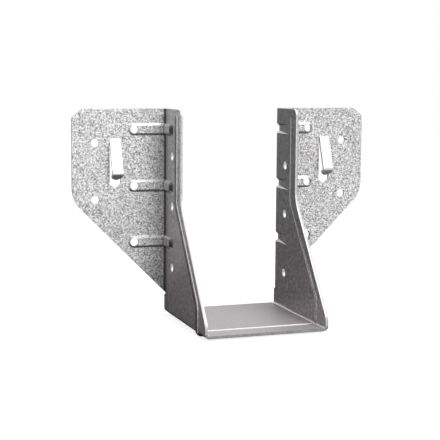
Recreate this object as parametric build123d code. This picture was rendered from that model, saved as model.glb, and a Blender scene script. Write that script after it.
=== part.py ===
from build123d import *
import os
from math import cos, radians, sin, tan

# Face-mounted truss hanger, folded from one galvanised sheet. Millimetres.
# X runs across the truss, +Y points at the header, +Z is up.
# The origin is the middle of the seat's bearing face.

# Sheet and main sizes
clear_width = 79.4
height = 139.7
seat_depth = 88.9
flange_width = 66.0
sheet = 1.9
flange_bend_radius = 1.7
seat_bend_radius = 1.0

# Flange outline, measured in from the outer edge and down from the top
corner_run = 7.2
corner_drop = 5.8
corner_softening = 2.5
taper_start = 61.0
taper_tip_height = 12.4
taper_radius = 20.0

# Side plate outline, measured out from the header and down from the top
shoulder_depth = 36.5
shoulder_drop = 61.5
shoulder_radius = 24.0
top_corner_radius = 4.5
toe_height = 8.3
toe_radius = 9.0
back_setback = 1.0

# Header nail holes, measured from the joist pocket and down from the top
nail_hole = 5.6
header_hole_offset = 50.3
header_hole_drops = (22.9, 61.0)

# Nail guides: raised ribs that run from a flange hole round the fold to a starter pocket on the plate
guide_offset = 23.6
guide_drops = (13.9, 52.0, 90.1)
guide_raise = 1.7
guide_base_width = 8.3
guide_wall_angle = 45.0
guide_end_depth = 17.0
groove_fade_depth = 24.0
starter_length = 3.4
starter_height = 6.8
starter_recess = 0.7
starter_softening = 0.9

# Joist nail holes, staggered so that nails from both sides miss each other
joist_hole_depth = 18.6
joist_hole_drops = (31.3, 64.8, 106.0)
joist_hole_stagger = 7.6

# Locating prong, lanced from the flange and bent forward, its tip bent back at the header
prong_offset = 36.6
prong_width = 7.2
prong_side_gap = 0.2
prong_window_drop = 19.4
prong_window_length = 34.4
prong_point_length = 3.3
prong_lean = 20.0
prong_strip_length = 25.0
prong_tip_length = 7.4
prong_tip_slope = 28.0
prong_hinge_radius = 3.0
prong_tip_radius = 1.2

# Stiffening bead, pressed outward down each plate and across under the seat
bead_top_drop = 6.0
bead_top_depth = 29.0
bead_shoulder_drop = 63.0
bead_seat_depth = 74.0
bead_foot_height = 18.1
bead_bend_radius = 10.0
bead_width = 5.2
bead_raise = 1.4
bead_groove_width = 3.6
bead_groove_depth = 1.35

# Working allowances
overrun = 5.0
embed = 0.5

# Worked out from the sizes above
inner_x = clear_width / 2
outer_x = inner_x + sheet
edge_x = inner_x + flange_width
top_z = height - sheet
floor_z = -sheet
header_y = seat_depth / 2
front_y = -seat_depth / 2
fold_outer_radius = flange_bend_radius + sheet
seat_outer_radius = seat_bend_radius + sheet
flange_front_y = header_y - sheet
fold_start_y = header_y - fold_outer_radius
taper_tip_z = floor_z + taper_tip_height
bead_foot_z = floor_z + bead_foot_height
LEFT, RIGHT = -1, 1


def from_header(depth):
    """Y of a point that lies this far in front of the header."""
    return header_y - depth


def below_top(drop):
    """Z of a point that lies this far below the top edge."""
    return top_z - drop


def mirrored(shape):
    """The same shape on the other side of the truss."""
    return mirror(shape, about=Plane.YZ)


def box_between(low, high):
    """A box from its lowest and highest corners."""
    size = [b - a for a, b in zip(low, high)]
    centre = [(a + b) / 2 for a, b in zip(low, high)]
    return Pos(*centre) * Box(*size)


def plate_outline():
    """Side view of a plate in the YZ plane, full depth at the foot and narrow at the top."""
    shoulder_y = from_header(shoulder_depth)
    toe_z = floor_z + toe_height
    back_y = from_header(back_setback)
    corners = [
        (back_y, below_top(-overrun)),
        (shoulder_y, below_top(-overrun)),
        (shoulder_y, below_top(shoulder_drop)),
        (front_y, toe_z),
        (front_y, floor_z - overrun),
        (back_y, floor_z - overrun),
    ]
    outline = make_face(Polyline(*corners, close=True))
    vertices = outline.vertices()
    shoulder = vertices.sort_by_distance((shoulder_y, below_top(shoulder_drop)))[0]
    outline = fillet(shoulder, shoulder_radius)
    toe = outline.vertices().sort_by_distance((front_y, toe_z))[0]
    outline = fillet(toe, toe_radius)
    top = Pos(from_header(seat_depth / 2), below_top(0) + height / 2) * Rectangle(2 * seat_depth, height)
    outline = outline - top
    corner = outline.vertices().sort_by_distance((shoulder_y, below_top(0)))[0]
    return fillet(corner, top_corner_radius)


def channel():
    """Seat and both plates: a U folded about the truss and trimmed to the side view."""
    outside = RectangleRounded(2 * outer_x, 2 * height, seat_outer_radius)
    inside = RectangleRounded(clear_width, 2 * (height - sheet), seat_bend_radius)
    section = Pos(0, floor_z + height) * outside - Pos(0, height - sheet) * inside
    section = section & Pos(0, floor_z + height / 2) * Rectangle(4 * outer_x, height)
    folded = extrude(Plane.XZ * section, amount=seat_depth, both=True)
    side_view = extrude(Plane.YZ * plate_outline(), amount=outer_x + overrun, both=True)
    return folded & side_view


def flange_outline():
    """Front view of the left flange in the XZ plane, down to the point of its taper at the fold."""
    corners = [
        (-inner_x, below_top(0)),
        (-edge_x + corner_run, below_top(0)),
        (-edge_x, below_top(corner_drop)),
        (-edge_x, below_top(taper_start)),
        (-inner_x, taper_tip_z),
    ]
    outline = make_face(Polyline(*corners, close=True))
    lower = outline.vertices().sort_by_distance(corners[3])[0]
    outline = fillet(lower, taper_radius)
    upper = [outline.vertices().sort_by_distance(corner)[0] for corner in corners[1:3]]
    return fillet(upper, corner_softening)


def flange_fold():
    """Left flange with its fold and a short length of the plate, as one bent strip."""
    reach = fold_outer_radius
    strip = [
        (-edge_x - overrun, header_y),
        (-inner_x, header_y),
        (-inner_x, header_y - reach - embed),
        (-outer_x, header_y - reach - embed),
        (-outer_x, flange_front_y),
        (-edge_x - overrun, flange_front_y),
    ]
    section = make_face(Polyline(*strip, close=True))
    convex = section.vertices().sort_by_distance(strip[1])[0]
    section = fillet(convex, fold_outer_radius)
    concave = section.vertices().sort_by_distance(strip[4])[0]
    section = fillet(concave, flange_bend_radius)
    bent = Pos(0, 0, floor_z) * extrude(section, amount=height + overrun)
    front_view = extrude(Plane.XZ * flange_outline(), amount=2 * seat_depth, both=True)
    return bent & front_view


def corner_relief():
    """Space beside the left fold that the plate's straight back edge would otherwise fill."""
    low = (-outer_x - overrun, fold_start_y, taper_tip_z)
    high = (-inner_x + overrun, header_y + overrun, top_z + overrun)
    return box_between(low, high)


def rib_section(base_width):
    """Trapezoid that stands guide_raise proud of v = 0, carried a little below it to bite."""
    half = base_width / 2
    flat = half - guide_raise / tan(radians(guide_wall_angle))
    corners = [(-half, -embed), (half, -embed), (half, 0), (flat, guide_raise)]
    corners += [(-flat, guide_raise), (-half, 0)]
    return make_face(Polyline(*corners, close=True))


def guide_strip(base_width, surface, reach):
    """Trapezoid strip of a left guide at height 0: round end, flange run, fold and plate run.

    surface is how far behind the sheet's front face the strip starts: nothing for the raised rib,
    the sheet's thickness for the groove behind it. reach is how far the plate run goes.
    """
    hole_x = -inner_x - guide_offset
    face_x, face_y = -outer_x + surface, flange_front_y + surface
    fold_x, fold_y = -outer_x - flange_bend_radius, flange_front_y - flange_bend_radius
    section = rib_section(base_width)
    half = Pos(base_width / 2, 0) * Rectangle(base_width, 4 * sheet)
    across = Plane(origin=(hole_x, face_y, 0), x_dir=(0, 0, 1), z_dir=(1, 0, 0))
    flange_run = extrude(across * section, amount=fold_x - hole_x)
    round_end = revolve(across * (section & half), Axis((hole_x, face_y, 0), (0, 1, 0)), 360)
    at_fold = Plane(origin=(fold_x, face_y, 0), x_dir=(0, 0, 1), z_dir=(1, 0, 0))
    fold_run = revolve(at_fold * section, Axis((fold_x, fold_y, 0), (0, 0, -1)), 90)
    along = Plane(origin=(face_x, fold_y, 0), x_dir=(0, 0, 1), z_dir=(0, -1, 0))
    plate_run = extrude(along * section, amount=fold_y - from_header(reach))
    return [flange_run, round_end, fold_run, plate_run]


def guide_rib():
    """Raised side of a left nail guide at height 0, full height up to its starter pocket."""
    return guide_strip(guide_base_width, 0, guide_end_depth)


def guide_groove():
    """Hollow behind a left nail guide at height 0, fading out along the plate's inner face."""
    narrowing = 2 * sheet * tan(radians(guide_wall_angle / 2))
    width = guide_base_width - narrowing
    *rest, plate_run = guide_strip(width, sheet, groove_fade_depth)
    start_y, end_y = flange_front_y - flange_bend_radius, from_header(groove_fade_depth)
    beyond_x = -inner_x - 2 * guide_raise
    beyond_ramp = Polyline(
        (-inner_x - guide_raise, start_y),
        (-inner_x, end_y),
        (-inner_x, end_y - overrun),
        (beyond_x, end_y - overrun),
        (beyond_x, start_y),
        close=True,
    )
    cut = extrude(make_face(beyond_ramp), amount=width, both=True)
    return [*rest, plate_run - cut]


def starter_pocket():
    """Shallow pocket in front of a left guide's end, where the slant nail is started."""
    centre_y = from_header(guide_end_depth + starter_length / 2)
    outline = RectangleRounded(starter_length, starter_height, starter_softening)
    plane = Plane(origin=(-outer_x - guide_raise, centre_y, 0), x_dir=(0, 1, 0), z_dir=(1, 0, 0))
    return extrude(plane * outline, amount=guide_raise + starter_recess)


def nail_hole_through_flange(x, z):
    """Round nail hole from front to back through a flange."""
    drill = Cylinder(nail_hole / 2, 4 * sheet + 2 * guide_raise)
    return Pos(x, flange_front_y, z) * Rot(90, 0, 0) * drill


def nail_hole_through_plate(side, drop):
    """Round nail hole through one side plate."""
    drill = Cylinder(nail_hole / 2, 4 * sheet)
    return Pos(side * outer_x, from_header(joist_hole_depth), below_top(drop)) * Rot(0, 90, 0) * drill


def prong_window():
    """Pointed opening that the left prong was lanced from."""
    half = prong_width / 2 + prong_side_gap
    x = -inner_x - prong_offset
    top = below_top(prong_window_drop)
    bottom = top - prong_window_length
    corners = [(x - half, top), (x + half, top), (x + half, bottom + prong_point_length)]
    corners += [(x, bottom), (x - half, bottom + prong_point_length)]
    window = make_face(Polyline(*corners, close=True))
    return extrude(Plane.XZ * window, amount=2 * seat_depth, both=True)


def prong():
    """Left locating prong: a strip leaning out of its window, with a pointed tip bent back."""
    mid_y = flange_front_y + sheet / 2
    hinge_z = below_top(prong_window_drop) - prong_hinge_radius * tan(radians(prong_lean / 2))
    root = (mid_y, hinge_z + prong_hinge_radius)
    hinge = (mid_y, hinge_z)
    lean, slope = radians(prong_lean), radians(prong_tip_slope)
    knee = (hinge[0] - prong_strip_length * sin(lean), hinge[1] - prong_strip_length * cos(lean))
    tip = (knee[0] + prong_tip_length * cos(slope), knee[1] - prong_tip_length * sin(slope))
    x = -inner_x - prong_offset
    path = FilletPolyline(
        (x, *root), (x, *hinge), (x, *knee), (x, *tip), radius=[prong_hinge_radius, prong_tip_radius]
    )
    start = Plane(origin=(x, *root), x_dir=(1, 0, 0), z_dir=(0, 0, -1))
    strip = sweep(start * Rectangle(prong_width, sheet), path=path)
    half = prong_width / 2
    tip_plane = Plane(origin=(x, *tip), x_dir=(1, 0, 0), z_dir=(0, sin(slope), cos(slope)))
    corner = [(0, 0), (half, -prong_point_length), (half + embed, -prong_point_length)]
    corner += [(half + embed, embed), (0, embed)]
    wedge = make_face(Polyline(*corner, close=True))
    wedges = wedge + mirror(wedge, about=Plane.YZ)
    return strip - extrude(tip_plane * wedges, amount=2 * sheet, both=True)


def bead_section(crest, width, base):
    """Round-topped section: its chord lies at v = base and its crest stands at v = crest."""
    half = width / 2
    arc = ThreePointArc((-half, base), (0, crest), (half, base))
    sides = Polyline((half, base), (half, base - embed), (-half, base - embed), (-half, base))
    return make_face(Curve() + [arc, sides])


def bead_strip(crest, width, base):
    """Bead along the left plate, round the seat fold and across to the middle of the seat.

    crest and base are measured outward from the sheet's inner face.
    """
    section = bead_section(crest, width, base)
    half = Pos(width / 2, 0) * Rectangle(width, 8 * sheet)
    top = (-inner_x, from_header(bead_top_depth), below_top(bead_top_drop))
    shoulder = (-inner_x, from_header(bead_top_depth), below_top(bead_shoulder_drop))
    foot = (-inner_x, from_header(bead_seat_depth), bead_foot_z)
    heel = (-inner_x, from_header(bead_seat_depth), seat_bend_radius)
    path = FilletPolyline(top, shoulder, foot, heel, radius=bead_bend_radius)
    at_top = Plane(origin=top, x_dir=(0, -1, 0), z_dir=(0, 0, -1))
    plate_run = sweep(at_top * section, path=path)
    top_end = revolve(at_top * (section & half), Axis(top, (1, 0, 0)), 360)
    at_heel = Plane(origin=heel, x_dir=(0, -1, 0), z_dir=(0, 0, -1))
    fold_centre = (-inner_x + seat_bend_radius, from_header(bead_seat_depth), seat_bend_radius)
    fold_run = revolve(at_heel * section, Axis(fold_centre, (0, -1, 0)), 90)
    seat_start = (-inner_x + seat_bend_radius, from_header(bead_seat_depth), 0)
    at_seat = Plane(origin=seat_start, x_dir=(0, -1, 0), z_dir=(1, 0, 0))
    seat_run = extrude(at_seat * section, amount=inner_x - seat_bend_radius)
    return [plate_run, top_end, fold_run, seat_run]


def bead_ridge():
    """Raised outside of the bead."""
    return bead_strip(sheet + bead_raise, bead_width, sheet)


def bead_groove():
    """Hollow inside of the bead."""
    return bead_strip(bead_groove_depth, bead_groove_width, 0)


def left_pressings():
    """Metal raised on the left side: nail guides at each height, then the bead."""
    ribs = [Pos(0, 0, below_top(drop)) * piece for drop in guide_drops for piece in guide_rib()]
    return ribs + bead_ridge()


def left_hollows():
    """Hollows behind the left pressings."""
    grooves = [Pos(0, 0, below_top(drop)) * piece for drop in guide_drops for piece in guide_groove()]
    return grooves + bead_groove()


def left_openings():
    """Nail holes of the left flange and the starter pockets of its guides."""
    flange_x = -inner_x - header_hole_offset
    guide_x = -inner_x - guide_offset
    openings = [nail_hole_through_flange(flange_x, below_top(drop)) for drop in header_hole_drops]
    openings += [nail_hole_through_flange(guide_x, below_top(drop)) for drop in guide_drops]
    openings += [Pos(0, 0, below_top(drop)) * starter_pocket() for drop in guide_drops]
    return openings


def joined(body, pieces):
    """The body with left pieces and their mirror images added."""
    for piece in pieces:
        body = body + piece + mirrored(piece)
    return body


def cut_away(body, pieces):
    """The body with left pieces and their mirror images cut away."""
    for piece in pieces:
        body = body - piece - mirrored(piece)
    return body


def hanger():
    """The whole hanger: folded sheet, lanced prongs, pressed features, then nail openings."""
    body = cut_away(channel(), [corner_relief()])
    body = joined(body, [flange_fold()])
    body = cut_away(body, [prong_window()])
    body = joined(body, [prong(), *left_pressings()])
    body = cut_away(body, left_hollows() + left_openings())
    for drop in joist_hole_drops:
        body = body - nail_hole_through_plate(LEFT, drop)
        body = body - nail_hole_through_plate(RIGHT, drop + joist_hole_stagger)
    return body


os.makedirs("parts", exist_ok=True)
export_step(hanger(), "parts/hanger.step")
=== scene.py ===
from functools import cached_property
from math import cos, radians, sin

import bmesh
import bpy
from bpy.props import BoolProperty, FloatProperty, FloatVectorProperty, PointerProperty
from bpy.types import Operator, Panel, PropertyGroup
from mathutils import Matrix, Vector
from mathutils.bvhtree import BVHTree


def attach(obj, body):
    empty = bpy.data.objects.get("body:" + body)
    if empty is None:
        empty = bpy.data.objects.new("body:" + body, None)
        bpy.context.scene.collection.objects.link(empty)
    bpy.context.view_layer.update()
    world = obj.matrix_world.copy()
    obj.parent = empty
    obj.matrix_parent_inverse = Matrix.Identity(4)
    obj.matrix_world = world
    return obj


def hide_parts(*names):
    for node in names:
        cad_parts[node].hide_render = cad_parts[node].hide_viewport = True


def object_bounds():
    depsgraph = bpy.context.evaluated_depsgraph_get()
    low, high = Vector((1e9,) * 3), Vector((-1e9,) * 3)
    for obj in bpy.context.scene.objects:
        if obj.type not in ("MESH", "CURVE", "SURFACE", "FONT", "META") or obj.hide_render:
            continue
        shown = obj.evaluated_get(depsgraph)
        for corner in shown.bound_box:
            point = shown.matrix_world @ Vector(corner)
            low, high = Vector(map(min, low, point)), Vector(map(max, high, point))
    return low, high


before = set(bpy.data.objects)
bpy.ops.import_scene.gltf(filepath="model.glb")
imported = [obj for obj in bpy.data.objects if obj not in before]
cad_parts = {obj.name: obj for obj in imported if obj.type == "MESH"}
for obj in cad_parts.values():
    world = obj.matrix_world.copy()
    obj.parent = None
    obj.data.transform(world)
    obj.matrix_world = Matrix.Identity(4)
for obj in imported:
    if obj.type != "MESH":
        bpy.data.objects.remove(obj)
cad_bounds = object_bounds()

bl_info = {
    "name": "Truss Hanger",
    "version": (1, 0, 0),
    "blender": (4, 5, 0),
    "location": "View3D > Sidebar > Truss Hanger",
    "description": "Dresses a folded truss hanger in hot-dip zinc and sets up its studio",
    "category": "Object",
}

NODE = "hanger"
PIECE = "hanger_sheet"

# Cleaning and sorting of the mesh
WELD_DISTANCE = 1e-6
RAY_START = 0.00002
SHARP_ANGLE = 28

# Starter pockets, one in front of each guide's end
GUIDE_LEVELS = (0.1239, 0.0858, 0.0477)
GUIDE_PITCH = 0.0381
POCKET_ACROSS = (0.0408, 0.0432)
POCKET_ALONG = (0.0239, 0.02755)
POCKET_HALF_HEIGHT = 0.0030

# Faces of the dressed mesh, by the order of its materials
SHEET, CUT_EDGE, POCKET = range(3)

# Ramps in metres: where a mask starts and where it counts in full. ACROSS is the distance from the middle
# plane, ALONG runs from the front to the header, and HEIGHT is measured from the seat's upper face.
ACROSS = {
    "seat_fold": (0.0381, 0.0384),
    "seat_side": (0.0385, 0.0390),
    "plate_inside": (0.0395, 0.0397),
    "guide_hollow": (0.0395, 0.0396),
    "groove": (0.03972, 0.03980),
    "deep_groove": (0.0402, 0.0404),
    "torn_half": (0.0404, 0.0409),
    "mid_sheet": (0.0412, 0.0414),
    "outer_face": (0.04145, 0.04155),
    "guide": (0.0415, 0.0417),
    "ridge": (0.04162, 0.0418),
    "plate_outside": (0.0417, 0.0419),
    "highlit_line": (0.0419, 0.0420),
    "clear_of_plate": (0.0420, 0.0424),
    "highlit_line_end": (0.0423, 0.0424),
    "fold_end": (0.0433, 0.0438),
    "flange": (0.0430, 0.0680),
    "prong": (0.0690, 0.0700),
}
ALONG = {
    "lip": (-0.0442, -0.0438),
    "bores": (0.0150, 0.0155),
    "bead_end": (0.0175, 0.0185),
    "guide": (0.0185, 0.0190),
    "guide_hollow": (0.0200, 0.0210),
    "near_fold_shadow": (0.0320, 0.0400),
    "bores_end": (0.0350, 0.0355),
    "flange_guide": (0.0385, 0.0395),
    "fold": (0.0388, 0.0406),
    "flange_front": (0.04225, 0.04245),
    "flange_back": (0.0428, 0.0432),
}
HEIGHT = {
    "lip_foot": (-0.0016, -0.0008),
    "seat_top": (0.0005, 0.0010),
    "seat_edge": (0.0005, 0.0015),
    "seat_fold": (0.0012, 0.0020),
    "flange_tip": (0.0085, 0.0105),
    "cold_zinc": (0.01, 0.09),
    "outer_plate_light": (0.02, 0.14),
    "inner_plate_light": (0.02, 0.10),
    "upper_groove": (0.03, 0.06),
    "plate_top": (0.1340, 0.1350),
}
STAIN_ACROSS = (-0.004, 0.036)
# Where the painted highlight in a pocket starts above the guide's middle
POCKET_HIGHLIGHT = (0.0002, 0.0030)

# Ramps of how far a face turns towards a direction
TURN = {
    "bead_flank": (0.05, 0.15),
    "groove_flank": (0.1, 0.3),
    "hollow_highlight": (0.15, 0.35),
    "underside": (0.15, 0.5),
    "fold": (0.30, 0.55),
    "towards": (0.3, 0.6),
    "guide_wall": (0.45, 0.65),
    "seat_fold": (0.50, 0.65),
    "square": (0.6, 0.9),
    "plate": (0.8, 0.95),
    "flat": (0.8, 0.98),
}

# Noises: width of a lump, detail, roughness and the stretch of the position
NOISE = {
    "plate_streak": (0.0016, 3.0, 0.6, (1.0, 1.0, 0.06)),
    "roll_marks": (0.0011, 2.0, 0.5, (0.04, 1.0, 1.0)),
    "blotch": (0.0026, 3.0, 0.6, (1.0, 1.0, 1.0)),
    "highlight_break": (0.004, 2.0, 0.5, (1.0, 1.0, 1.0)),
    "edge_streak": (0.0009, 3.0, 0.6, (1.0, 1.0, 0.25)),
    "edge_mottle": (0.0014, 3.0, 0.7, (1.0, 1.0, 1.0)),
    "nicks": (0.0030, 1.0, 0.5, (1.0, 1.0, 1.0)),
    "pocket_mottle": (0.0024, 3.0, 0.5, (1.0, 1.0, 1.0)),
}
# Where the noise that breaks up the painted bead highlight ramps
HIGHLIGHT_BREAK_RAMP = (0.38, 0.60)
NICK_RAMP = (0.66, 0.70)

# Specks and clouds, as multiples of the crystal size
SPECK = (0.45, 3.0, 0.75)
CLOUD = (9, 4.0, 0.6)

# How strongly each mask or noise changes the tone
AMOUNT = {
    "prong_calm": 0.8,
    "plate_streak": 0.4,
    "roll_marks": 0.16,
    "stain": 0.06,
    "stain_cloud": 0.16,
    "seat_warmth": 0.4,
    "warmth": 0.6,
    "warmth_cloud": 0.8,
    # Painted shade beside the folds
    "near_fold_shadow": 0.3,
    "flange_by_fold_shadow": 0.22,
    # Painted highlight on the guides' upper walls
    "guide_on_plate": 0.6,
    "guide_on_flange": 0.4,
    # Painted highlight along the beads' front flanks, and painted shade and a painted highlight line in the
    # grooves
    "highlit": 0.7,
    "highlit_break": 0.3,
    "groove": 0.35,
    "groove_low": 0.5,
    "groove_high": 0.45,
    "groove_highlight": 0.15,
    # Painted light and shade on the plates
    "outer_plate_light": 0.1,
    "outer_plate_top_light": 0.35,
    "inner_plate_light": 0.08,
    "inner_plate_top_shade": 0.22,
    "edge_streak": 0.6,
    "edge_mottle": 1.1,
    "edge_crest_calm": 0.8,
    # Painted highlight on cut faces that turn up
    "edge_crest_highlight": 0.3,
    "bore": 0.9,
    "torn_half": 0.3,
    "nick": 0.8,
    "pocket_mottle": 2.0,
    # Painted highlight in the pockets
    "pocket_highlight": 2.2,
}
BRIGHTEST_ZINC = 1.7
BRIGHTEST_EDGE = 1.6

# Roughness, metal and relief of the finishes
ZINC_ROUGHNESS = 0.36
FLAT_ROUGHNESS = 0.18
BURNISH_ROUGHNESS = -0.12
GRAIN_ROUGHNESS = 0.16
CLOUD_ROUGHNESS = 0.12
BURNISH_METALLIC = 0.5
EDGE_ROUGHNESS = 0.5
POCKET_ROUGHNESS = 0.6
MOTTLE_ROUGHNESS = 0.2
POCKET_METALLIC = 0.4
RELIEF = {
    "zinc": (0.35, 0.00005),
    "edge": (0.25, 0.00004),
    "pocket": (0.3, 0.00005),
}
GRAIN_RELIEF = 0.6
SPECK_RELIEF = 0.4

# Studio
LAMP_TARGET = (0.0, 0.0, 0.07)
KEY_PLACE = (0.30, -1.60, 1.10)
KEY_SIZE = 0.75
TOP_PLACE = (0.37, -0.19, 1.2)
TOP_SIZE = 0.6
FLOOR_RADIUS = 6.0
FLOOR_CORNERS = 96
CARDS = (
    ("dark_card_low", (-0.36, 0.30, 0.025), (0.42, 0.09)),
    ("dark_card_high", (-0.14, 0.42, 0.12), (0.22, 0.30)),
    ("dark_card_front", (0.56, -0.80, 0.18), (0.50, 0.36)),
)
FLOOR_CARD_PLACE = (-0.25, 0.20)
FLOOR_CARD_SIZE = (0.72, 0.54)
FLOOR_CARD_LIFT = 0.0005
CARD_COLOUR = (0.03, 0.03, 0.03, 1.0)
WHITE = (1.0, 1.0, 1.0, 1.0)

# Camera, as the fit to the photograph gives it
CAMERA_PLACE = (-0.26128, -0.69081, 0.15966)
YAW, PITCH, ROLL = 0.3206, 0.1075, 0.0054
SENSOR, LENS = 36.0, 92.44
SHIFT = (0.05, -0.05)
CLIP = (0.01, 50.0)


# Shader expressions


class Wire:
    """A socket that can be used in Python expressions."""

    def __init__(self, tree, socket):
        self.tree = tree
        self.socket = socket

    def node(self, kind, settings=None, inputs=None, output=0):
        """Adds a node with its settings and the values or links of its sockets."""
        made = self.tree.nodes.new(kind)
        for name, value in (settings or {}).items():
            setattr(made, name, value)
        for name, value in (inputs or {}).items():
            if isinstance(value, Wire):
                self.tree.links.new(value.socket, made.inputs[name])
            else:
                made.inputs[name].default_value = value
        return Wire(self.tree, made.outputs[output])

    def math(self, operation, *values):
        """A Math node on numbers."""
        return self.node("ShaderNodeMath", {"operation": operation}, dict(enumerate(values)))

    def __add__(self, other):
        return self.math("ADD", self, other)

    def __radd__(self, other):
        return self.math("ADD", other, self)

    def __sub__(self, other):
        return self.math("SUBTRACT", self, other)

    def __rsub__(self, other):
        return self.math("SUBTRACT", other, self)

    def __neg__(self):
        return self.math("SUBTRACT", 0, self)

    def __mul__(self, other):
        return self.math("MULTIPLY", self, other)

    def __rmul__(self, other):
        return self.math("MULTIPLY", other, self)

    def __abs__(self):
        return self.math("ABSOLUTE", self)

    def past(self, ramp):
        """0 before a ramp's start, 1 after its end and smooth between them."""
        start, end = ramp
        settings = {"interpolation_type": "SMOOTHSTEP"}
        return self.node("ShaderNodeMapRange", settings, {"Value": self, "From Min": start, "From Max": end})

    def before(self, ramp):
        """1 before a ramp's start, 0 after its end and smooth between them."""
        return 1 - self.past(ramp)

    def between(self, start, end):
        """1 from the end of the first ramp to the start of the second."""
        return self.past(start) * self.before(end)

    def most(self, other):
        """The larger of two values."""
        return self.math("MAXIMUM", self, other)

    def capped(self, limit):
        """This value, or the limit where it is larger."""
        return self.math("MINIMUM", self, limit)

    def wrapped(self, period):
        """This value, counted from 0 again after each period."""
        return self.math("FLOORED_MODULO", self, period)

    def swing(self, amount):
        """A noise's swing about its middle, times an amount."""
        return (self - 0.5) * amount

    def span(self, low, high):
        """Stretches 0 to 1 over low to high."""
        return self.node("ShaderNodeMapRange", None, {"Value": self, "To Min": low, "To Max": high})

    def mix(self, start, end):
        """Colour between start and end, with this value as the factor."""
        settings = {"data_type": "RGBA", "clamp_factor": True}
        return self.node("ShaderNodeMix", settings, {0: self, 6: start, 7: end}, output=2)

    def tint(self, colour):
        """This value as a shade of a colour."""
        settings = {"operation": "SCALE"}
        return self.node("ShaderNodeVectorMath", settings, {0: colour, "Scale": self})

    def stretched(self, scale):
        """A position with each axis scaled."""
        return self.node("ShaderNodeVectorMath", {"operation": "MULTIPLY"}, {0: self, 1: scale})

    def noise(self, size, detail, roughness):
        """Soft noise whose lumps are about size metres wide."""
        values = {"Vector": self, "Scale": 1 / size, "Detail": detail, "Roughness": roughness}
        return self.node("ShaderNodeTexNoise", None, values)

    def crystals(self, size):
        """Random shade for each crystal about size metres wide."""
        settings = {"feature": "F1", "voronoi_dimensions": "3D"}
        inputs = {"Vector": self, "Scale": 1 / size}
        return self.node("ShaderNodeTexVoronoi", settings, inputs, output="Color").axis("X")

    def axis(self, name):
        """One component of a vector or colour."""
        return self.node("ShaderNodeSeparateXYZ", None, {0: self}, output=name)


class Spot:
    """Where a point of the sheet lies and how its face turns, as wires."""

    def __init__(self, tree):
        start = Wire(tree, None)
        self.place = start.node("ShaderNodeTexCoord", output="Object")
        self.normal = start.node("ShaderNodeNewGeometry", output="Normal")

    @cached_property
    def rightward(self):
        """Distance to the right of the middle plane."""
        return self.place.axis("X")

    @cached_property
    def across(self):
        """Distance from the middle plane on either side."""
        return abs(self.rightward)

    @cached_property
    def along(self):
        """Distance towards the header."""
        return self.place.axis("Y")

    @cached_property
    def height(self):
        """Height over the seat's upper face."""
        return self.place.axis("Z")

    @cached_property
    def side(self):
        """How far the face turns to the left or right."""
        return abs(self.normal.axis("X"))

    @cached_property
    def front(self):
        """How far the face turns to the front."""
        return -self.normal.axis("Y")

    @cached_property
    def up(self):
        """How far the face turns up."""
        return self.normal.axis("Z")

    def noise(self, name):
        """One of the named noises."""
        size, detail, roughness, stretch = NOISE[name]
        return self.place.stretched(stretch).noise(size, detail, roughness)


def new_material(name):
    """A material with its Principled shader and the wires of a spot on the sheet."""
    material = bpy.data.materials.new(name)
    material.use_nodes = True
    tree = material.node_tree
    return material, tree.nodes["Principled BSDF"], Spot(tree)


def feed(shader, **inputs):
    """Links wires, or sets constant values, on the shader's own sockets."""
    for name, value in inputs.items():
        socket = shader.inputs[name.replace("_", " ")]
        if isinstance(value, Wire):
            value.tree.links.new(value.socket, socket)
        else:
            socket.default_value = value


def bumped(height, name):
    """A Bump node fed by a height wire, with the named relief."""
    strength, distance = RELIEF[name]
    return height.node("ShaderNodeBump", None, {"Height": height, "Strength": strength, "Distance": distance})


# Finishes


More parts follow.
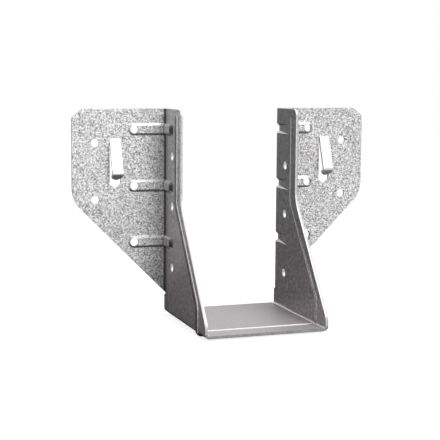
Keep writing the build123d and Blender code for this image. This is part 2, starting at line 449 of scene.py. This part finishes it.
def zinc_sheet(look):
    """Hot-dip zinc: fine bright and dull crystals, calmer on the plates and rolled smooth on the seat, with
    painted shade on the side plates and the painted light and shade of the pressed forms.
    """
    material, shader, spot = new_material("zinc_sheet")
    sideways = spot.side.past(TURN["square"])
    flat = abs(spot.up).past(TURN["flat"])
    prong = spot.across.past(ACROSS["prong"]) * spot.along.before(ALONG["flange_front"])
    rolled = flat.most(spot.height.before(HEIGHT["seat_top"]) * spot.across.before(ACROSS["seat_side"]))
    lively = (1 - sideways * look.plate_calm) * (1 - rolled * look.seat_calm)
    lively = lively * (1 - prong * AMOUNT["prong_calm"])

    grain = spot.place.crystals(look.crystal_size)
    speck = spot.place.noise(look.crystal_size * SPECK[0], *SPECK[1:])
    cloud = spot.place.noise(look.crystal_size * CLOUD[0], *CLOUD[1:])
    mottle = grain.swing(look.crystal_contrast) + speck.swing(look.speck_contrast)
    streak = spot.noise("plate_streak").swing(AMOUNT["plate_streak"])
    roll_marks = spot.noise("roll_marks").swing(AMOUNT["roll_marks"])
    stain = spot.rightward.past(STAIN_ACROSS) * (AMOUNT["stain"] + cloud * AMOUNT["stain_cloud"])
    blotch = spot.noise("blotch").swing(look.blotch_contrast)
    burnish_and_highlight = seat_line(spot)

    level = 1 + mottle * lively + cloud.swing(look.cloud_contrast) + streak * (1 - lively)
    # Painted shade on faces turned sideways, which makes the side plates darker
    level = level * (1 - sideways * look.plate_painted_shade) * (1 - flat * look.seat_shade)
    level = level * (1 + rolled * (roll_marks - stain)) * (1 + blotch * sideways)
    # Painted light and shade of the pressed forms
    level = (level * painted_form_light(spot, burnish_and_highlight, look)).capped(BRIGHTEST_ZINC)

    low_down = sideways * spot.height.before(HEIGHT["cold_zinc"]) + rolled * AMOUNT["seat_warmth"]
    warmth = low_down * (AMOUNT["warmth"] + cloud * AMOUNT["warmth_cloud"])
    zinc = warmth.mix((*look.zinc_colour, 1.0), (*look.warm_zinc, 1.0))
    roughness = ZINC_ROUGHNESS + flat * FLAT_ROUGHNESS + burnish_and_highlight * BURNISH_ROUGHNESS
    roughness = roughness + grain * lively * GRAIN_ROUGHNESS + cloud.swing(CLOUD_ROUGHNESS)
    feed(
        shader,
        Base_Color=level.tint(zinc),
        Metallic=burnish_and_highlight * BURNISH_METALLIC + look.zinc_metallic,
        Roughness=roughness,
        Normal=bumped(grain * GRAIN_RELIEF + speck * SPECK_RELIEF, "zinc"),
    )
    return material


def seat_line(spot):
    """1 along the start of the seat's folds, where the zinc is smoother and more metallic and also gets a
    painted highlight.
    """
    beside_plate = spot.across.between(ACROSS["seat_fold"], ACROSS["mid_sheet"])
    return beside_plate * spot.up.past(TURN["seat_fold"]) * spot.height.before(HEIGHT["seat_fold"])


def painted_fold_shade(spot, outer_face, look):
    """Painted shade in the flange folds, and on the plates and flanges beside them."""
    fold_shadow = outer_face * spot.across.before(ACROSS["fold_end"]) * spot.along.past(ALONG["fold"])
    fold_shadow = fold_shadow * spot.height.past(HEIGHT["flange_tip"]) * spot.side.past(TURN["fold"])
    near_fold_shadow = outer_face * spot.across.before(ACROSS["clear_of_plate"])
    near_fold_shadow = near_fold_shadow * spot.along.past(ALONG["near_fold_shadow"])
    flange = spot.front.past(TURN["square"]) * spot.across.before(ACROSS["flange"])
    tone = (1 - fold_shadow * look.fold_painted_shade) * (1 - near_fold_shadow * look.fold_painted_shade * AMOUNT["near_fold_shadow"])
    return tone * (1 - flange * AMOUNT["flange_by_fold_shadow"])


def bead_painted_light(spot, inner_face):
    """Painted shade on the beads' sides and in the grooves behind them, a painted highlight along each bead's
    front flank and a painted highlight line in the grooves.
    """
    forward = spot.along.before(ALONG["bead_end"])
    ridge = spot.across.past(ACROSS["ridge"]) * forward
    highlight_break = AMOUNT["highlit"] + spot.noise("highlight_break").past(HIGHLIGHT_BREAK_RAMP) * AMOUNT["highlit_break"]
    highlit = spot.across.between(ACROSS["highlit_line"], ACROSS["highlit_line_end"])
    highlit = highlit * spot.front.past(TURN["bead_flank"]) * ridge * highlight_break

    groove = spot.across.past(ACROSS["groove"]) * inner_face * forward
    high_up = spot.height.past(HEIGHT["upper_groove"])
    far_flank = spot.front.past(TURN["groove_flank"])
    deep_flank = far_flank * spot.across.past(ACROSS["deep_groove"])
    low_shade = (1 - deep_flank) * (1 - high_up) * AMOUNT["groove_low"]
    high_shade = far_flank * high_up * AMOUNT["groove_high"]
    bead_shade = (groove * (AMOUNT["groove"] + low_shade + high_shade)).most(ridge * (1 - highlit))
    return bead_shade, highlit, groove * deep_flank * (1 - high_up) * AMOUNT["groove_highlight"]


def guide_highlights(spot, inner_face):
    """Painted highlights on the upper walls of the guides outside, and of the hollows behind them."""
    guide_top_highlight = spot.up.past(TURN["guide_wall"]) * spot.along.past(ALONG["guide"])
    guide_top_highlight = guide_top_highlight * spot.across.past(ACROSS["guide"])
    on_flange = spot.along.past(ALONG["flange_guide"])
    guide_top_highlight = guide_top_highlight * (AMOUNT["guide_on_plate"] + on_flange * AMOUNT["guide_on_flange"])
    hollow = spot.up.past(TURN["hollow_highlight"]) * spot.along.past(ALONG["guide_hollow"])
    return guide_top_highlight, hollow * inner_face * spot.across.past(ACROSS["guide_hollow"])


def plate_painted_light(spot, outer_face, inner_face):
    """Painted light on the plates: lighter outside and more so towards the top, and inside slightly lighter
    low down with painted shade towards the top.
    """
    plate = spot.side.past(TURN["plate"])
    outside = AMOUNT["outer_plate_light"] + AMOUNT["outer_plate_top_light"] * spot.height.past(HEIGHT["outer_plate_light"])
    inside = AMOUNT["inner_plate_light"] - AMOUNT["inner_plate_top_shade"] * spot.height.past(HEIGHT["inner_plate_light"])
    return (1 + outer_face * plate * outside) * (1 + inner_face * plate * inside)


def painted_form_light(spot, burnish_and_highlight, look):
    """Painted light and shade of the pressed forms: painted shade in folds, grooves, undersides and on the
    plates, painted highlights on beads, seat folds and guide tops.
    """
    outer_face = spot.across.past(ACROSS["outer_face"]) * spot.along.before(ALONG["flange_back"])
    inner_face = spot.across.before(ACROSS["mid_sheet"])
    bead_shade, highlit, groove_highlight = bead_painted_light(spot, inner_face)
    guide_top_highlight, hollow_highlight = guide_highlights(spot, inner_face)
    # Painted shade on faces that turn down
    underside = (-spot.up).past(TURN["underside"])
    painted_highlight = highlit.most(burnish_and_highlight).most(hollow_highlight) + groove_highlight
    tone = painted_fold_shade(spot, outer_face, look) * plate_painted_light(spot, outer_face, inner_face)
    tone = tone * (1 - underside * look.underside_painted_shade) * (1 - bead_shade * look.bead_side_painted_shade)
    return tone * (1 + painted_highlight * look.line_highlight) * (1 + guide_top_highlight * look.guide_painted_highlight)


def sheared_edge(look):
    """Bright cut metal with fine burnished and torn bands across the sheet's thickness, and a painted
    highlight on cut faces that turn up.
    """
    material, shader, spot = new_material("sheared_edge")
    streak = spot.noise("edge_streak")
    mottle = spot.noise("edge_mottle")
    crest = spot.up.past(TURN["towards"])
    bore = spot.across.between(ACROSS["plate_inside"], ACROSS["plate_outside"])
    bore = bore * spot.along.between(ALONG["bores"], ALONG["bores_end"])
    bore = bore * spot.height.between(HEIGHT["seat_edge"], HEIGHT["plate_top"])
    torn = spot.across.between(ACROSS["torn_half"], ACROSS["clear_of_plate"])
    torn = torn * spot.front.past(TURN["towards"])
    lip = spot.along.before(ALONG["lip"]) * spot.height.before(HEIGHT["seat_edge"])
    nick = spot.noise("nicks").past(NICK_RAMP) * spot.height.before(HEIGHT["lip_foot"])

    uneven = streak.swing(AMOUNT["edge_streak"]) + mottle.swing(AMOUNT["edge_mottle"])
    level = 1 + uneven * (1 - crest * AMOUNT["edge_crest_calm"])
    # Painted highlight on cut faces that turn up
    level = level * (1 + bore * AMOUNT["bore"]) * (1 + crest * AMOUNT["edge_crest_highlight"])
    level = (level * (1 - torn * AMOUNT["torn_half"])).capped(BRIGHTEST_EDGE)
    level = level * (1 - lip * look.lip_shade) * (1 - lip * nick * AMOUNT["nick"])
    feed(
        shader,
        Base_Color=level.tint(look.edge_colour),
        Metallic=look.edge_metallic,
        Roughness=EDGE_ROUGHNESS + mottle.swing(MOTTLE_ROUGHNESS),
        Normal=bumped(streak, "edge"),
    )
    return material


def pocket_painted_shade(look):
    """Painted shade inside the starter pockets, with a painted highlight above each guide's middle."""
    material, shader, spot = new_material("pocket_painted_shade")
    mottle = spot.noise("pocket_mottle")
    half_pitch = GUIDE_PITCH / 2
    above_guide = (spot.height - (GUIDE_LEVELS[-1] - half_pitch)).wrapped(GUIDE_PITCH) - half_pitch
    level = 1 + mottle.swing(AMOUNT["pocket_mottle"])
    level = level * (1 + above_guide.past(POCKET_HIGHLIGHT) * AMOUNT["pocket_highlight"])
    feed(
        shader,
        Base_Color=level.tint(look.pocket_shade_colour),
        Metallic=POCKET_METALLIC,
        Roughness=POCKET_ROUGHNESS + mottle.swing(MOTTLE_ROUGHNESS),
        Normal=bumped(mottle, "pocket"),
    )
    return material


# Sizes and colours a user would change


class HangerLook(PropertyGroup):
    """Finish of the hanger."""

    zinc_colour: FloatVectorProperty(
        name="Zinc", description="Colour of the zinc coating", subtype="COLOR", size=3,
        default=(0.56, 0.553, 0.556), min=0.0, max=1.0,
    )
    warm_zinc: FloatVectorProperty(
        name="Warm zinc", description="Colour of the zinc low down on the plates", subtype="COLOR", size=3,
        default=(0.57, 0.522, 0.533), min=0.0, max=1.0,
    )
    zinc_metallic: FloatProperty(
        name="Zinc metallic", description="How metallic the zinc is", subtype="FACTOR", default=0.45,
        min=0.0, max=1.0,
    )
    crystal_size: FloatProperty(
        name="Crystal size", description="Width of a zinc crystal", unit="LENGTH", default=0.0006, min=0.0002,
    )
    crystal_contrast: FloatProperty(
        name="Crystal contrast", description="Difference between bright and dull crystals", default=1.5,
    )
    speck_contrast: FloatProperty(
        name="Speck contrast", description="Strength of the finest specks", default=2.9,
    )
    cloud_contrast: FloatProperty(
        name="Cloud contrast", description="Strength of the broad cloudy tone", default=0.16,
    )
    blotch_contrast: FloatProperty(
        name="Blotch contrast", description="Strength of the blotches on the side plates", default=1.5,
    )
    plate_calm: FloatProperty(
        name="Plate calm", description="How far the crystals fade on the side plates", subtype="FACTOR",
        default=0.6, min=0.0, max=1.0,
    )
    # Painted shade on the side plates
    plate_painted_shade: FloatProperty(
        name="Plate shade", description="How much duller the zinc is on the side plates", subtype="FACTOR",
        default=0.26, min=0.0, max=1.0,
    )
    seat_shade: FloatProperty(
        name="Seat shade", description="How much duller the zinc is on the seat", subtype="FACTOR",
        default=0.14, min=0.0, max=1.0,
    )
    seat_calm: FloatProperty(
        name="Seat calm", description="How far the crystals fade on the seat", subtype="FACTOR",
        default=0.9, min=0.0, max=1.0,
    )
    edge_colour: FloatVectorProperty(
        name="Cut edge", description="Colour of the sheared edges", subtype="COLOR", size=3,
        default=(0.60, 0.595, 0.595), min=0.0, max=1.0,
    )
    edge_metallic: FloatProperty(
        name="Edge metallic", description="How metallic the cut edges are", subtype="FACTOR", default=0.3,
        min=0.0, max=1.0,
    )
    # Painted shade inside the starter pockets
    pocket_shade_colour: FloatVectorProperty(
        name="Pocket", description="Colour inside the starter pockets", subtype="COLOR", size=3,
        default=(0.13, 0.125, 0.125), min=0.0, max=1.0,
    )
    cut_depth: FloatProperty(
        name="Cut depth", description="Metal behind a face from which it counts as a cut edge", unit="LENGTH",
        default=0.0045, min=0.001,
    )
    # Painted shade: how dark the folds and the metal beside them are painted
    fold_painted_shade: FloatProperty(
        name="Fold shade", description="How much duller the zinc is inside the folds", subtype="FACTOR",
        default=0.8, min=0.0, max=1.0,
    )
    # Painted shade on undersides
    underside_painted_shade: FloatProperty(
        name="Underside shade", description="How much duller the zinc is on undersides", subtype="FACTOR",
        default=0.6, min=0.0, max=1.0,
    )
    # Painted shade on the beads' sides and in the grooves
    bead_side_painted_shade: FloatProperty(
        name="Bead side shade", description="How much duller the zinc is on the beads' sides",
        subtype="FACTOR", default=0.66, min=0.0, max=1.0,
    )
    # Painted highlight: how much brighter the beads' front flanks, the seat folds, the hollows' upper walls
    # and the groove lines are painted
    line_highlight: FloatProperty(
        name="Rubbed shine", description="How much brighter rubbed beads and seat folds are",
        default=3.0, min=0.0,
    )
    # Painted highlight on the guides' upper walls
    guide_painted_highlight: FloatProperty(
        name="Guide shine", description="How much brighter the guides' upper walls are", default=1.3, min=0.0,
    )
    lip_shade: FloatProperty(
        name="Lip shade", description="How much duller the seat's front edge is", subtype="FACTOR",
        default=0.4, min=0.0, max=1.0,
    )


class StudioSettings(PropertyGroup):
    """Light, floor and camera."""

    key_power: FloatProperty(name="Key lamp", description="Power of the key lamp", unit="POWER", default=22.0)
    top_power: FloatProperty(name="Top lamp", description="Power of the top lamp", unit="POWER", default=5.0)
    fill: FloatProperty(name="Fill", description="Strength of the world's soft light", default=0.3)
    floor_colour: FloatVectorProperty(
        name="Floor", description="Colour of the floor", subtype="COLOR", size=3, default=(0.5, 0.5, 0.5),
        min=0.0, max=1.0,
    )
    floor_lift: FloatProperty(
        name="Floor lift", description="White added to the floor for the camera and reflections",
        default=0.85,
    )
    show_card: BoolProperty(
        name="Dark cards", description="Dark cards round the object, which only reflections show",
        default=True,
    )


# Pieces


def metal_behind(tree, centre, normal, reach):
    """Depth of metal behind a face's centre."""
    hit = tree.ray_cast(centre - normal * RAY_START, -normal, reach)
    return reach if hit[3] is None else hit[3]


def in_pocket(centre):
    """Whether a face lies in a starter pocket or on the guide's end beside it."""
    across = POCKET_ACROSS[0] < abs(centre.x) < POCKET_ACROSS[1]
    along = POCKET_ALONG[0] < centre.y < POCKET_ALONG[1]
    level = any(abs(centre.z - guide) < POCKET_HALF_HEIGHT for guide in GUIDE_LEVELS)
    return across and along and level


class HANGER_OT_sheet(Operator):
    """Dress the folded sheet: welded mesh, sharp cut edges and a finish for each kind of face."""

    bl_idname = "hanger.sheet"
    bl_label = "Folded Sheet"

    def execute(self, context):
        look = context.scene.hanger_look
        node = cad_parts.get(NODE)
        if node is None:
            raise RuntimeError("the frame has no hanger")
        mesh = bpy.data.meshes.new(PIECE)
        work = bmesh.new()
        work.from_mesh(node.data)
        bmesh.ops.remove_doubles(work, verts=work.verts, dist=WELD_DISTANCE)
        bmesh.ops.recalc_face_normals(work, faces=work.faces)
        self.sort_faces(work, look.cut_depth)
        for edge in work.edges:
            edge.smooth = edge.calc_face_angle(0.0) < radians(SHARP_ANGLE)
        work.to_mesh(mesh)
        work.free()
        for material in (zinc_sheet(look), sheared_edge(look), pocket_painted_shade(look)):
            mesh.materials.append(material)
        piece = bpy.data.objects.new(PIECE, mesh)
        context.scene.collection.objects.link(piece)
        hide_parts(NODE)
        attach(piece, "root")
        return {"FINISHED"}

    def sort_faces(self, work, cut_depth):
        """Gives each face the finish of the sheet, of a cut edge or the painted shade of a starter pocket."""
        tree = BVHTree.FromBMesh(work)
        for face in work.faces:
            centre = face.calc_center_median()
            face.smooth = True
            if in_pocket(centre):
                face.material_index = POCKET
            elif metal_behind(tree, centre, face.normal, cut_depth * 2) > cut_depth:
                face.material_index = CUT_EDGE
            else:
                face.material_index = SHEET


def area_lamp(context, name, place, size, power):
    """A soft square lamp at a place, aimed at the object."""
    lamp = bpy.data.lights.new(name, "AREA")
    lamp.shape = "RECTANGLE"
    lamp.size = lamp.size_y = size
    lamp.energy = power
    holder = bpy.data.objects.new(name, lamp)
    context.scene.collection.objects.link(holder)
    holder.location = place
    holder.rotation_mode = "QUATERNION"
    holder.rotation_quaternion = (Vector(LAMP_TARGET) - Vector(place)).to_track_quat("-Z", "Y")


def shown_rays(start):
    """1 for rays from the camera, reflections and glass, 0 for the light on surfaces."""
    seen = start.node("ShaderNodeLightPath", output="Is Camera Ray")
    glossy = start.node("ShaderNodeLightPath", output="Is Glossy Ray")
    through = start.node("ShaderNodeLightPath", output="Is Transmission Ray")
    return seen.most(glossy).most(through)


def world_light(context, fill):
    """White to the camera and in reflections, and a softer fill on the object."""
    world = bpy.data.worlds.new("studio")
    world.use_nodes = True
    context.scene.world = world
    tree = world.node_tree
    shown = shown_rays(Wire(tree, None))
    feed(tree.nodes["Background"], Color=WHITE, Strength=shown.span(fill, 1.0))


def floor_material(colour, lift):
    """White paper that keeps a soft shadow."""
    material = bpy.data.materials.new("paper_floor")
    material.use_nodes = True
    tree = material.node_tree
    tree.nodes.clear()
    start = Wire(tree, None)
    paper = start.node("ShaderNodeBsdfDiffuse", None, {"Color": (*colour, 1.0)})
    white = start.node("ShaderNodeEmission", None, {"Color": WHITE, "Strength": shown_rays(start) * lift})
    both = start.node("ShaderNodeAddShader", None, {0: paper, 1: white})
    out = tree.nodes.new("ShaderNodeOutputMaterial")
    tree.links.new(both.socket, out.inputs["Surface"])
    return material


class HANGER_OT_studio(Operator):
    """Set up the pale floor, soft lamps, dark cards and the camera at the photograph's angle."""

    bl_idname = "hanger.studio"
    bl_label = "Studio"

    def execute(self, context):
        studio = context.scene.hanger_studio
        self.floor(context, studio)
        world_light(context, studio.fill)
        area_lamp(context, "key", KEY_PLACE, KEY_SIZE, studio.key_power)
        area_lamp(context, "top", TOP_PLACE, TOP_SIZE, studio.top_power)
        if studio.show_card:
            self.dark_cards(context)
        self.camera(context)
        return {"FINISHED"}

    def floor(self, context, studio):
        """A wide pale floor under the object."""
        place = (0.0, 0.0, cad_bounds[0].z)
        bpy.ops.mesh.primitive_circle_add(
            vertices=FLOOR_CORNERS, radius=FLOOR_RADIUS, fill_type="NGON", location=place,
        )
        floor = context.object
        floor.name = "floor"
        floor.data.materials.append(floor_material(studio.floor_colour, studio.floor_lift))

    def dark_cards(self, context):
        """Dark cards behind on the left, in front on the right and on the floor."""
        material = bpy.data.materials.new("dark_card")
        material.use_nodes = True
        feed(material.node_tree.nodes["Principled BSDF"], Base_Color=CARD_COLOUR, Roughness=1.0)
        for name, place, size in CARDS:
            inward = Vector((-place[0], -place[1], 0.0))
            self.dark_card(context, name, place, inward, size, material)
        on_floor = (*FLOOR_CARD_PLACE, cad_bounds[0].z + FLOOR_CARD_LIFT)
        self.dark_card(context, "dark_card_floor", on_floor, Vector((0, 0, 1)), FLOOR_CARD_SIZE, material)

    def dark_card(self, context, name, place, facing, size, material):
        """A dark card that only reflections show."""
        bpy.ops.mesh.primitive_plane_add(size=1.0)
        card = context.object
        card.name = name
        card.scale = (*size, 1.0)
        card.location = place
        card.rotation_mode = "QUATERNION"
        card.rotation_quaternion = facing.to_track_quat("Z", "Y")
        card.data.materials.append(material)
        card.visible_camera = False
        card.visible_diffuse = False
        card.visible_shadow = False
        card.visible_transmission = False

    def camera(self, context):
        """The camera, placed and aimed as the fit to the photograph gives it."""
        ahead = Vector((sin(YAW) * cos(PITCH), cos(YAW) * cos(PITCH), -sin(PITCH)))
        right = Vector((cos(YAW), -sin(YAW), 0.0))
        up = right.cross(ahead)
        rolled_right = cos(ROLL) * right + sin(ROLL) * up
        rolled_up = -sin(ROLL) * right + cos(ROLL) * up
        lens = bpy.data.cameras.new("camera")
        lens.sensor_width = SENSOR
        lens.lens = LENS
        lens.shift_x, lens.shift_y = SHIFT
        lens.clip_start, lens.clip_end = CLIP
        camera = bpy.data.objects.new("camera", lens)
        context.scene.collection.objects.link(camera)
        turn = Matrix((rolled_right, rolled_up, -ahead)).transposed().to_4x4()
        camera.matrix_world = Matrix.Translation(CAMERA_PLACE) @ turn
        context.scene.camera = camera


class HANGER_PT_panel(Panel):
    """Sizes, colours and steps of the hanger."""

    bl_idname = "HANGER_PT_panel"
    bl_label = "Truss Hanger"
    bl_space_type = "VIEW_3D"
    bl_region_type = "UI"
    bl_category = "Truss Hanger"

    def draw(self, context):
        layout = self.layout
        for settings in (context.scene.hanger_look, context.scene.hanger_studio):
            box = layout.box()
            for name in settings.__annotations__:
                box.prop(settings, name)
        for step in STEPS:
            layout.operator(step.bl_idname)


STEPS = (HANGER_OT_studio, HANGER_OT_sheet)
CLASSES = (HangerLook, StudioSettings, *STEPS, HANGER_PT_panel)


def register():
    for item in CLASSES:
        bpy.utils.register_class(item)
    bpy.types.Scene.hanger_look = PointerProperty(type=HangerLook)
    bpy.types.Scene.hanger_studio = PointerProperty(type=StudioSettings)


def unregister():
    del bpy.types.Scene.hanger_look
    del bpy.types.Scene.hanger_studio
    for item in reversed(CLASSES):
        bpy.utils.unregister_class(item)


def main():
    """Registers the add-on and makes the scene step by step."""
    register()
    bpy.context.scene.view_settings.view_transform = "Standard"
    bpy.ops.hanger.studio()
    bpy.ops.hanger.sheet()


if __name__ == "__main__":
    main()
